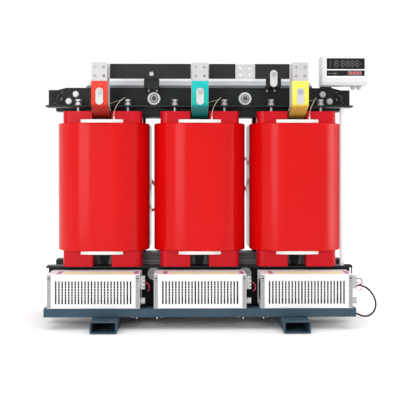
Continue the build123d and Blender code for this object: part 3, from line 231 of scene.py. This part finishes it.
# finishes of the record's slots
FINISHES = {
    "clamp_paint": dict(colour=(0.013, 0.0155, 0.0165), rough=0.45, scale=9.0, swing=0.20,
                        grain=900.0, bump=0.05, **DULL),
    "base_paint": dict(colour=(0.036, 0.070, 0.096), rough=0.42, scale=9.0, swing=0.10,
                       grain=900.0, bump=0.05, **DULL),
    "fixings": dict(colour=(0.44, 0.44, 0.45), rough=0.32, metal=0.60, scale=60.0, swing=0.08,
                    grain=900.0, bump=0.01),
    "coil_resin": dict(colour=RED, rough=0.20, swing=0.03, scale=5.0, stretch=(1, 1, 0.4),
                       rough_swing=0.04, grain=160.0, bump=0.006, crown=COIL_CROWN,
                       Specular_IOR_Level=0.17),
    "lv_winding": dict(colour=(0.20, 0.03, 0.02), rough=0.40, swing=0.15, scale=40.0,
                       stretch=(1, 1, 8)),
    "block_resin": dict(colour=(0.50, 0.0026, 0.010), rough=0.28, swing=0.04, scale=12.0,
                        grain=200.0, bump=0.010, **DULL),
    "barrier_white": dict(colour=(0.74, 0.74, 0.73), rough=0.50, swing=0.04, scale=30.0),
    "board": dict(colour=(0.20, 0.14, 0.08), rough=0.70, swing=0.15, scale=50.0, bump=0.08),
    "bar_metal": dict(colour=(0.50, 0.49, 0.49), rough=0.50, metal=0.25, swing=0.05, scale=40.0,
                      stretch=(6, 6, 0.4), grain=700.0),
    "sleeve_red": dict(colour=(0.66, 0.050, 0.030), rough=0.42, swing=0.06, scale=30.0,
                       bump=0.05, heights=SLEEVE_PAINTED_SHADE, **DULL),
    "sleeve_green": dict(colour=(0.010, 0.46, 0.44), rough=0.42, swing=0.08, scale=30.0,
                         bump=0.05, heights=SLEEVE_PAINTED_SHADE, **DULL),
    "sleeve_yellow": dict(colour=(0.86, 0.78, 0.12), rough=0.42, swing=0.05, scale=30.0,
                          bump=0.05, heights=SLEEVE_PAINTED_SHADE, **DULL),
    "sleeve_black": dict(colour=(0.018, 0.018, 0.019), rough=0.45, swing=0.15, scale=30.0,
                         bump=0.05, **DULL),
    "marker_metal": dict(colour=(0.54, 0.54, 0.54), rough=0.45, metal=0.2, swing=0.06,
                         scale=60.0),
    "brass": dict(colour=(0.74, 0.55, 0.24), rough=0.28, metal=0.95, swing=0.08, scale=60.0),
    "rod_cover": dict(colour=(0.74, 0.74, 0.73), rough=0.35, swing=0.06, scale=30.0),
    "fan_sheet": dict(colour=(0.75, 0.75, 0.76), rough=0.45, swing=0.02, scale=10.0, grain=900.0,
                      bump=0.03),
    "fan_blades": dict(colour=(0.035, 0.035, 0.037), rough=0.35, metal=0.0, swing=0.05,
                       scale=50.0),
    "motor_metal": dict(colour=(0.15, 0.16, 0.17), rough=0.38, metal=0.4, swing=0.10,
                        scale=50.0),
    "terminal_plastic": dict(colour=(0.46, 0.47, 0.46), rough=0.48, swing=0.06, scale=60.0),
    "controller_paint": dict(colour=(0.66, 0.66, 0.67), rough=0.42, swing=0.02, scale=12.0,
                             grain=900.0, bump=0.03),
    "bezel_white": dict(colour=(0.84, 0.84, 0.84), rough=0.35, swing=0.02, scale=30.0),
    "key_red": dict(colour=(0.45, 0.022, 0.050), rough=0.42, swing=0.06, scale=90.0),
    "gland_grey": dict(colour=(0.36, 0.37, 0.38), rough=0.50, swing=0.08, scale=90.0),
    "conduit_white": dict(colour=(0.70, 0.71, 0.74), rough=0.45, swing=0.04, scale=40.0),
    "cable_black": dict(colour=(0.004, 0.004, 0.005), rough=0.50, swing=0.15, scale=90.0,
                        bump=0.04, **MATT),
    "lead_cream": dict(colour=(0.66, 0.60, 0.46), rough=0.50, swing=0.08, scale=200.0),
}
# finishes of what is added here
EXTRA_FINISHES = {
    "window": dict(colour=(0.010, 0.010, 0.011), rough=0.22, swing=0.08, scale=40.0, bump=0.004,
                   **DULL),
    "digit": dict(colour=(0.095, 0.097, 0.102), rough=0.45, swing=0.10, scale=90.0, **MATT),
    "print_grey": dict(colour=(0.36, 0.36, 0.36), rough=0.50, swing=0.10, scale=90.0, **MATT),
    # near-black painted shade of the fans' dark inside
    "guide_painted_shade": dict(colour=(0.006, 0.006, 0.006), rough=0.60, swing=0.20, scale=40.0,
                        **MATT),
    "strip_grey": dict(colour=(0.30, 0.31, 0.32), rough=0.45, metal=0.1, swing=0.06, scale=30.0),
    "strip_yellow": dict(colour=(0.80, 0.74, 0.42), rough=0.50, swing=0.08, scale=25.0, **DULL),
    "strip_pink": dict(colour=(0.46, 0.16, 0.24), rough=0.50, swing=0.20, scale=60.0, **DULL),
    "wire_pink": dict(colour=(0.60, 0.05, 0.13), rough=0.45, swing=0.10, scale=200.0, **DULL),
    "lip_black": dict(colour=(0.006, 0.006, 0.007), rough=0.40, swing=0.15, scale=60.0, **DULL),
    "edge_white": dict(colour=(0.86, 0.86, 0.87), rough=0.40, swing=0.03, scale=40.0),
    "rim_light": dict(colour=(0.72, 0.72, 0.72), rough=0.35, metal=0.3, swing=0.05, scale=60.0),
    "ring_dark": dict(colour=(0.12, 0.12, 0.125), rough=0.45, metal=0.2, swing=0.10, scale=60.0,
                      **DULL),
}
looks = {"core_steel": laminated("core_steel_look", (0.50, 0.51, 0.52))}
looks.update({slot: surface(f"{slot}_look", **values) for slot, values in FINISHES.items()})
extra = {name: surface(f"{name}_look", **values) for name, values in EXTRA_FINISHES.items()}
for node in nodes.values():
    for holder in node.material_slots:
        holder.material = looks[holder.material.name.split(".")[0]]


# ------------------------------------------------------------- fan cable
CABLE_RADIUS = 0.0038
CABLE_ROUTE = [
    (0.718, -0.300, 0.197), (0.737, -0.300, 0.197), (0.757, -0.300, 0.190),
    (0.776, -0.300, 0.176), (0.793, -0.300, 0.155), (0.805, -0.300, 0.130),
    (0.808, -0.300, 0.104), (0.800, -0.300, 0.078), (0.782, -0.300, 0.060),
    (0.760, -0.300, 0.0535), (0.739, -0.300, 0.0575), (0.717, -0.300, 0.0688),
    (0.695, -0.300, 0.0664),
]


def strand(name, route, radius, material):
    """A round wire along one smooth spline through the given control points."""
    curve = bpy.data.curves.new(name, "CURVE")
    curve.dimensions = "3D"
    curve.bevel_depth = radius
    curve.bevel_resolution = 4
    curve.use_fill_caps = True
    spline = curve.splines.new("NURBS")
    spline.points.add(len(route) - 1)
    for point, place in zip(spline.points, route):
        point.co = (*place, 1.0)
    spline.order_u = 3
    spline.use_endpoint_u = True
    spline.resolution_u = 10
    made = placed(name, curve)
    made.data.materials.append(material)
    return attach(made, ROOT)


cable = strand("fan_cable_run", CABLE_ROUTE, CABLE_RADIUS, looks["cable_black"])
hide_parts("fan_cable")


# ----------------------------------------------------------- mesh helpers
SHARP_ANGLE = math.radians(35)
# where (across, up, along) points when an outline is pushed along each axis
TURNS = {
    "X": lambda across, up, along: (along, across, up),
    "Y": lambda across, up, along: (across, along, up),
    "Z": lambda across, up, along: (across, up, along),
}


def piece(name, bm, material, bevel=0.0, body=ROOT):
    """A new mesh object that rides on a body and takes the finish it is given."""
    bmesh.ops.recalc_face_normals(bm, faces=bm.faces)
    mesh = bpy.data.meshes.new(name)
    bm.to_mesh(mesh)
    bm.free()
    made = placed(name, mesh)
    mesh.materials.append(material)
    mesh.shade_smooth()
    mesh.set_sharp_from_angle(angle=SHARP_ANGLE)
    if bevel:
        rounding = made.modifiers.new("rounding", "BEVEL")
        rounding.width = bevel
        rounding.segments = 2
        rounding.limit_method = "ANGLE"
    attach(made, body)
    return made


def loop_of(bm, outline, place, along, axis):
    """Vertices of a flat outline, that far along the axis from place."""
    turn = TURNS[axis]
    return [bm.verts.new(Vector(place) + Vector(turn(a, b, along))) for a, b in outline]


def prism(bm, outline, place, depth, axis="Y"):
    """A flat outline of (across, up) points pushed along an axis from place, by depth."""
    near, far = (loop_of(bm, outline, place, along, axis) for along in (0.0, depth))
    bm.faces.new(near)
    bm.faces.new(far[::-1])
    for i in range(len(outline)):
        j = (i + 1) % len(outline)
        bm.faces.new((near[i], near[j], far[j], far[i]))


def rounded(width, height, radius, steps=4):
    """Outline of a rounded rectangle about its middle."""
    points = []
    for quarter, (sx, sy) in enumerate(((1, 1), (-1, 1), (-1, -1), (1, -1))):
        for k in range(steps + 1):
            angle = math.pi / 2 * (quarter + k / steps)
            points.append((sx * (width / 2 - radius) + radius * math.cos(angle),
                           sy * (height / 2 - radius) + radius * math.sin(angle)))
    return points


def disc(radius, count=24, turn=0.0):
    """Outline of a round or many-sided plate about its middle."""
    angles = [turn + math.tau * k / count for k in range(count)]
    return [(radius * math.cos(angle), radius * math.sin(angle)) for angle in angles]


def washer(bm, outer, inner, place, depth, count=32, axis="Y"):
    """A flat ring, pushed along an axis from place."""
    loops = [loop_of(bm, disc(radius, count), place, along, axis)
             for radius, along in ((outer, 0.0), (outer, depth), (inner, depth), (inner, 0.0))]
    for k in range(4):
        first, second = loops[k], loops[(k + 1) % 4]
        for i in range(count):
            j = (i + 1) % count
            bm.faces.new((first[i], first[j], second[j], second[i]))


# ------------------------------------------------------------- controller
SKIN = 0.0003
FRAME_LIP = 0.0045
WINDOW_TOP_LIP = 0.0035
WINDOW_GAP = 0.006
STRIP_BELOW_KEYS = 0.006
STRIP_ABOVE_KEYS = 0.005
KEY_GAP = 0.0002
MARK_ROUNDING = 0.0006

bezel_low, bezel_high, _ = span("controller_bezel")
key_boxes = [span(f"controller_key_{i}") for i in range(1, 5)]
first_low, first_high, _ = key_boxes[0]
strip_low = first_low.z - STRIP_BELOW_KEYS
strip_high = first_high.z + STRIP_ABOVE_KEYS
window_x = (bezel_low.x + FRAME_LIP, bezel_high.x - FRAME_LIP)
window_z = (strip_high + WINDOW_GAP, bezel_high.z - WINDOW_TOP_LIP)
skin_y = bezel_low.y - SKIN

bm = bmesh.new()
prism(bm, rounded(window_x[1] - window_x[0], window_z[1] - window_z[0], 0.0012),
      (sum(window_x) / 2, bezel_low.y, sum(window_z) / 2), -SKIN)
piece("controller_window", bm, extra["window"])

# the dark strip, a grid of faces that leaves the four keys free
bm = bmesh.new()
columns = [window_x[0]]
for low, high, _ in key_boxes:
    columns += [low.x - KEY_GAP, high.x + KEY_GAP]
columns.append(window_x[1])
rows = [strip_low, first_low.z - KEY_GAP, first_high.z + KEY_GAP, strip_high]
for i, (left, right) in enumerate(zip(columns, columns[1:])):
    for j, (low, high) in enumerate(zip(rows, rows[1:])):
        if i % 2 and j == 1:
            continue
        corners = [(left, low), (right, low), (right, high), (left, high)]
        bm.faces.new([bm.verts.new((x, skin_y, z)) for x, z in corners])
bmesh.ops.remove_doubles(bm, verts=bm.verts, dist=1e-6)
strip = piece("controller_strip", bm, extra["window"])
skin = strip.modifiers.new("skin", "SOLIDIFY")
skin.thickness = SKIN
skin.offset = -1.0 if strip.data.polygons[0].normal.y < 0 else 1.0

# seven bars of a figure: (across, up, lying) in halves of its width and height
FIGURE_BARS = [(0, 1, True), (0, 0, True), (0, -1, True),
               (-1, 0.5, False), (1, 0.5, False), (-1, -0.5, False), (1, -0.5, False)]
FIGURE_HEIGHT = 0.030
FIGURE_STROKE = 0.0048
FIRST_FIGURE = (0.046, 0.021)
NEXT_FIGURES = (0.0755, 0.0190)
FIGURE_PITCH = 0.0228
LAMP_X, LAMP_PITCH = 0.0185, 0.0068


def figure(bm, middle, z, width):
    """An unlit seven-bar figure on the display."""
    for across, up, lying in FIGURE_BARS:
        length = width - FIGURE_STROKE if lying else FIGURE_HEIGHT / 2 - FIGURE_STROKE
        half, nose = length / 2, FIGURE_STROKE / 2
        along = [(-half, 0), (-half + nose, nose), (half - nose, nose), (half, 0),
                 (half - nose, -nose), (-half + nose, -nose)]
        outline = [(a, b) if lying else (b, a) for a, b in along]
        prism(bm, outline, (middle + across * (width - FIGURE_STROKE) / 2, skin_y,
                            z + up * (FIGURE_HEIGHT - FIGURE_STROKE) / 2), -SKIN / 2)


bm = bmesh.new()
display_z = sum(window_z) / 2 + 0.0005
figure(bm, window_x[0] + FIRST_FIGURE[0], display_z, FIRST_FIGURE[1])
for k in range(4):
    figure(bm, window_x[0] + NEXT_FIGURES[0] + FIGURE_PITCH * k, display_z, NEXT_FIGURES[1])
for k in range(5):
    prism(bm, rounded(0.0065, 0.0038, 0.0008),
          (window_x[0] + LAMP_X, skin_y, display_z + LAMP_PITCH * (k - 2)), -SKIN / 2)
prism(bm, rounded(0.0070, 0.0060, 0.0020), (window_x[1] - LAMP_X, skin_y, display_z - 0.002),
      -SKIN / 2)
piece("controller_figures", bm, extra["digit"])

# short plain bars in place of print: (place along the strip, length)
PRINT_BARS = ((0.012, 0.011), (0.026, 0.006), (0.041, 0.010))
bm = bmesh.new()
strip_mid = (strip_low + strip_high) / 2
for at, length in PRINT_BARS:
    prism(bm, rounded(length, 0.0016, MARK_ROUNDING),
          (window_x[0] + at, skin_y, strip_mid - 0.001), -SKIN / 2)
prism(bm, rounded(0.006, 0.0016, MARK_ROUNDING),
      (window_x[0] + 0.093, skin_y, strip_low + 0.003), -SKIN / 2)
for low, _, mid in key_boxes:
    prism(bm, rounded(0.0085, 0.0014, MARK_ROUNDING), (mid.x, skin_y, low.z - 0.003), -SKIN / 2)
piece("controller_marks", bm, extra["print_grey"])

# ------------------------------------------------------------------- fans
IMPELLER_GAP = 0.0030
GUIDE_WALL = 0.0012
GUIDE_MOUTH = 68
GUIDE_STEPS = 20
GUIDE_END_GAP = 0.004
EDGE_COUNT = 22
EDGE_WIDTH = 0.0040
EDGE_NEAR_END, EDGE_FAR_END, EDGE_DISC_GAP = 0.012, 0.006, 0.007
END_STRIP = (0.017, 0.150)
END_STRIP_SINK = 0.0005
SLOT_DROP = 0.018
HOLE_DROPS = (0.030, 0.076)
TOP_SHIFT = 0.016
TOP_STRIP = (0.310, 0.060)
TOP_END = (0.020, 0.090)
TOP_END_X = 0.176
SIDES = {1: -1, 2: -1, 3: -1, 4: 1, 5: 1, 6: 1}
for i, side in SIDES.items():
    case_low, case_high, case_mid = span(f"fan_case_{i}")
    wheel_low, wheel_high, wheel_mid = span(f"fan_impeller_{i}")
    wheel_radius = (wheel_high.z - wheel_low.z) / 2
    face = case_low.y if side < 0 else case_high.y

    # curved guide behind the impeller, open towards the slots; its near-black colour is painted
    # shade of the fan's dark inside
    radius = wheel_radius + IMPELLER_GAP
    bm = bmesh.new()
    arc = [math.radians(GUIDE_MOUTH + k * (360 - 2 * GUIDE_MOUTH) / GUIDE_STEPS)
           for k in range(GUIDE_STEPS + 1)]
    inner = [(side * radius * math.cos(a), radius * math.sin(a)) for a in arc]
    swell = 1 + GUIDE_WALL / radius
    outer = [(y * swell, z * swell) for y, z in reversed(inner)]
    prism(bm, inner + outer, (case_low.x + GUIDE_END_GAP, wheel_mid.y, wheel_mid.z),
          case_high.x - case_low.x - 2 * GUIDE_END_GAP, axis="X")
    piece(f"fan_guide_{i}", bm, extra["guide_painted_shade"])

    # bright leading edges of the fine blades, in two rows between the wheel's discs
    bm = bmesh.new()
    tip = wheel_radius - 0.0002
    section = ((tip, 0.0), (tip - 0.0005, EDGE_WIDTH / 2), (tip - 0.0018, EDGE_WIDTH / 2),
               (tip - 0.0014, -EDGE_WIDTH / 2), (tip - 0.0005, -EDGE_WIDTH / 2))
    middle_x = (wheel_low.x + wheel_high.x) / 2
    for first, last in ((wheel_low.x + EDGE_NEAR_END, middle_x - EDGE_DISC_GAP),
                        (middle_x + EDGE_DISC_GAP, wheel_high.x - EDGE_FAR_END)):
        for k in range(EDGE_COUNT):
            a = math.tau * k / EDGE_COUNT
            across = Vector((math.cos(a), math.sin(a)))
            along = Vector((-math.sin(a), math.cos(a)))
            outline = [tuple(across * r + along * t) for r, t in section]
            prism(bm, outline, (first, wheel_mid.y, wheel_mid.z), last - first, axis="X")
    piece(f"fan_blade_edges_{i}", bm, extra["edge_white"], body=f"impeller_{i}")

    # grey end strips with a slot and two screw holes, drawn as flat near-black marks: painted
    # shade of their open insides
    bm, dots = bmesh.new(), bmesh.new()
    for end in (-1, 1):
        x = case_mid.x + end * ((case_high.x - case_low.x) / 2 - END_STRIP[0] / 2 - 0.001)
        for depth in (-END_STRIP_SINK, SKIN):
            prism(bm, rounded(*END_STRIP, 0.0015), (x, face, case_mid.z), side * depth)
        outside = face + side * SKIN
        prism(dots, rounded(0.011, 0.0045, 0.0015), (x, outside, case_high.z - SLOT_DROP),
              side * SKIN)
        for drop in HOLE_DROPS:
            prism(dots, disc(0.0018, 12), (x, outside, case_high.z - drop), side * SKIN)
    piece(f"fan_end_strips_{i}", bm, extra["strip_grey"])
    piece(f"fan_end_holes_{i}", dots, extra["lip_black"])

    # plain pale strip along the top, and the pink ends of its frame
    top_x = case_mid.x + TOP_SHIFT
    bm = bmesh.new()
    prism(bm, rounded(*TOP_STRIP, 0.004), (top_x, case_mid.y + side * 0.030, case_high.z),
          SKIN, axis="Z")
    piece(f"fan_top_strip_{i}", bm, extra["strip_yellow"])
    bm = bmesh.new()
    for end in (-1, 1):
        prism(bm, rounded(*TOP_END, 0.004),
              (top_x + end * TOP_END_X, case_mid.y + side * 0.020, case_high.z), SKIN, axis="Z")
    piece(f"fan_top_ends_{i}", bm, extra["strip_pink"])

# -------------------------------------------------- bolts under the rail
RAIL_BOLT_INSET = 0.014
RAIL_BOLT_Y = 0.010
NUT_RADIUS, NUT_HEIGHT = 0.0042, 0.0035
SHANK_RADIUS, SHANK_LENGTH = 0.0026, 0.0045
rail_low, _, _ = span("fan_rail_front")
ends = bmesh.new()
for i in (1, 2, 3):
    case_low, case_high, _ = span(f"fan_case_{i}")
    for x in (case_low.x + RAIL_BOLT_INSET, case_high.x - RAIL_BOLT_INSET):
        y = rail_low.y + RAIL_BOLT_Y
        prism(ends, disc(NUT_RADIUS, 6), (x, y, rail_low.z), -NUT_HEIGHT, axis="Z")
        prism(ends, disc(SHANK_RADIUS, 12), (x, y, rail_low.z - NUT_HEIGHT), -SHANK_LENGTH,
              axis="Z")
piece("rail_bolt_ends", ends, extra["rim_light"], bevel=0.0003)

# a cream insulating bead beside the first low-voltage bar
BEAD_PLACE = (-0.5085, -0.1225, 1.0145)
bead = bmesh.new()
bmesh.ops.create_uvsphere(bead, u_segments=24, v_segments=14, radius=0.0115)
bmesh.ops.scale(bead, vec=(0.80, 0.80, 1.12), verts=bead.verts)
bmesh.ops.translate(bead, vec=BEAD_PLACE, verts=bead.verts)
washer(bead, 0.0050, 0.0032, (*BEAD_PLACE[:2], 1.0260), 0.0045, axis="Z")
piece("lead_bead", bead, looks["lead_cream"])

# -------------------------------------- washers, lifting holes and markers
CLAMP_FACE = 0.105
WASHER_TOP = 0.004
HEAD_TOP = 0.1171
HEAD_HEIGHT = 0.0022
PAIR_X, PAIR_Z = 0.220, 1.070
LUG_X, LUG_Z = 0.679, 1.073
LUG_FACE, LUG_DEPTH = 0.1055, 0.070
MARK_FACE, MARK_Z = -0.3086, 1.083
corners = [(side, end) for side in (-1, 1) for end in (-1, 1)]
rims, grooves, caps, lips = (bmesh.new() for _ in range(4))
for side, end in corners:
    x, face, head = end * PAIR_X, side * (CLAMP_FACE + WASHER_TOP), side * HEAD_TOP
    washer(rims, 0.0295, 0.0215, (x, face, PAIR_Z), side * 0.0012)
    # the groove ring's dark grey is painted shade in the groove
    washer(grooves, 0.0215, 0.0180, (x, face, PAIR_Z), side * 0.0006)
    prism(caps, disc(0.0125, 6, 0.26), (x, head, PAIR_Z), side * HEAD_HEIGHT)
    prism(caps, disc(0.0062, 16), (x, head + side * HEAD_HEIGHT, PAIR_Z), side * 0.0015)
    washer(lips, 0.0305, 0.0185, (end * LUG_X, side * LUG_FACE, LUG_Z), side * -LUG_DEPTH)
piece("washer_bolt_heads", caps, extra["ring_dark"], bevel=0.0008)
piece("washer_rims", rims, extra["rim_light"], bevel=0.0004)
piece("washer_grooves", grooves, extra["ring_dark"])
piece("lug_hole_liners", lips, extra["lip_black"], bevel=0.001)

rings = bmesh.new()
for x in LEG_X:
    washer(rings, 0.0105, 0.0088, (x, MARK_FACE, MARK_Z), -0.0005)
piece("marker_bolt_rings", rings, extra["ring_dark"])

# ------------------------------------------------ small wiring at the clamp
STUB_X = 0.056
# routes from a leg's middle line: (x from there, y, z)
CLAMP_WIRE = ((0.036, -0.108, 1.064), (0.010, -0.116, 1.058), (-0.012, -0.120, 1.050),
              (-0.030, -0.116, 1.043), (-0.048, -0.107, 1.036))
FLANGE_WIRE = ((0.250, -0.150, 1.0295), (0.275, -0.152, 1.034), (0.300, -0.150, 1.0300),
               (0.330, -0.156, 1.0315))
CLAMP_END_PIPE = ((0.690, -0.160, 0.2735), (0.708, -0.160, 0.2745), (0.722, -0.160, 0.2725),
                  (0.7245, -0.164, 0.262), (0.7235, -0.172, 0.240), (0.721, -0.172, 0.226))


def shifted(route, x):
    """The route moved sideways by x."""
    return [(x + across, y, z) for across, y, z in route]


for letter, middle in zip("abc", LEG_X):
    strand(f"clamp_wire_{letter}", shifted(CLAMP_WIRE, middle + STUB_X), 0.0011,
           looks["lead_cream"])
    if letter != "c":
        strand(f"flange_wire_{letter}", shifted(FLANGE_WIRE, middle), 0.0012,
               looks["lead_cream"])
strand("clamp_end_pipe", CLAMP_END_PIPE, 0.0028, looks["cable_black"])

# ------------------------------------------------- wiring between the fans
# each wire starts at x, and its reach differs: (x from there, share of the reach, y, z)
FAN_WIRES = {1: (-0.2440, 0.010), 2: (0.2410, 0.010), 3: (0.7180, 0.020)}
DARK_WIRE = ((-0.006, 0.0, -0.300, 0.222), (0.0, 0.6, -0.304, 0.232), (0.0, 1.2, -0.304, 0.222),
             (0.0, 1.3, -0.302, 0.205), (0.0, 0.4, -0.300, 0.196), (-0.003, 0.0, -0.300, 0.190))
PINK_WIRE = ((-0.004, 0.0, -0.303, 0.214), (0.0, 0.8, -0.309, 0.207), (0.0, 1.3, -0.309, 0.190),
             (0.0, 1.1, -0.305, 0.178), (0.0, 0.3, -0.302, 0.172))


def fan_route(points, x, reach):
    """A wire's route from x, with its bulge scaled to the reach."""
    return [(x + start + reach * share, y, z) for start, share, y, z in points]


for i, (x, reach) in FAN_WIRES.items():
    strand(f"fan_wire_dark_{i}", fan_route(DARK_WIRE, x, reach), 0.0021,
           looks["cable_black"])
    strand(f"fan_wire_pink_{i}", fan_route(PINK_WIRE, x, reach), 0.0017,
           extra["wire_pink"])

# -------------------------------------------------------- floor and lights
FLOOR_CORNERS = [(-14, -8, 0), (14, -8, 0), (14, 16, 0), (-14, 16, 0)]
floor_mesh = bpy.data.meshes.new("floor")
floor_mesh.from_pydata(FLOOR_CORNERS, [], [tuple(range(len(FLOOR_CORNERS)))])
floor_mesh.materials.append(surface("floor_look", (0.97, 0.97, 0.97), 0.8, swing=0.003,
                                    scale=2.0, bump=0.0, **MATT))
placed("floor", floor_mesh)


def softbox(name, place, aim, size, power):
    """A rectangular area light at place, turned towards aim."""
    light = bpy.data.lights.new(name, "AREA")
    light.shape = "RECTANGLE"
    light.size, light.size_y = size
    light.energy = power
    made = placed(name, light)
    made.location = place
    made.rotation_euler = (Vector(aim) - Vector(place)).to_track_quat("-Z", "Y").to_euler()


softbox("key", (-4.0, -7.4, 1.5), (0, 0, 0.7), (4.6, 5.0), 260)
softbox("side_right", (4.0, 0.1, 1.0), (0.3, 0, 0.7), (1.6, 2.2), 30)

sun = bpy.data.lights.new("overhead", "SUN")
sun.energy = 0.8
sun.angle = math.radians(80)
overhead = placed("overhead", sun)
overhead.rotation_euler = (math.radians(12), 0, 0)

world = bpy.data.worlds.new("studio")
bpy.context.scene.world = world
world.use_nodes = True
background = world.node_tree.nodes["Background"]
background.inputs["Color"].default_value = (1.0, 1.0, 1.0, 1.0)
background.inputs["Strength"].default_value = 1.0
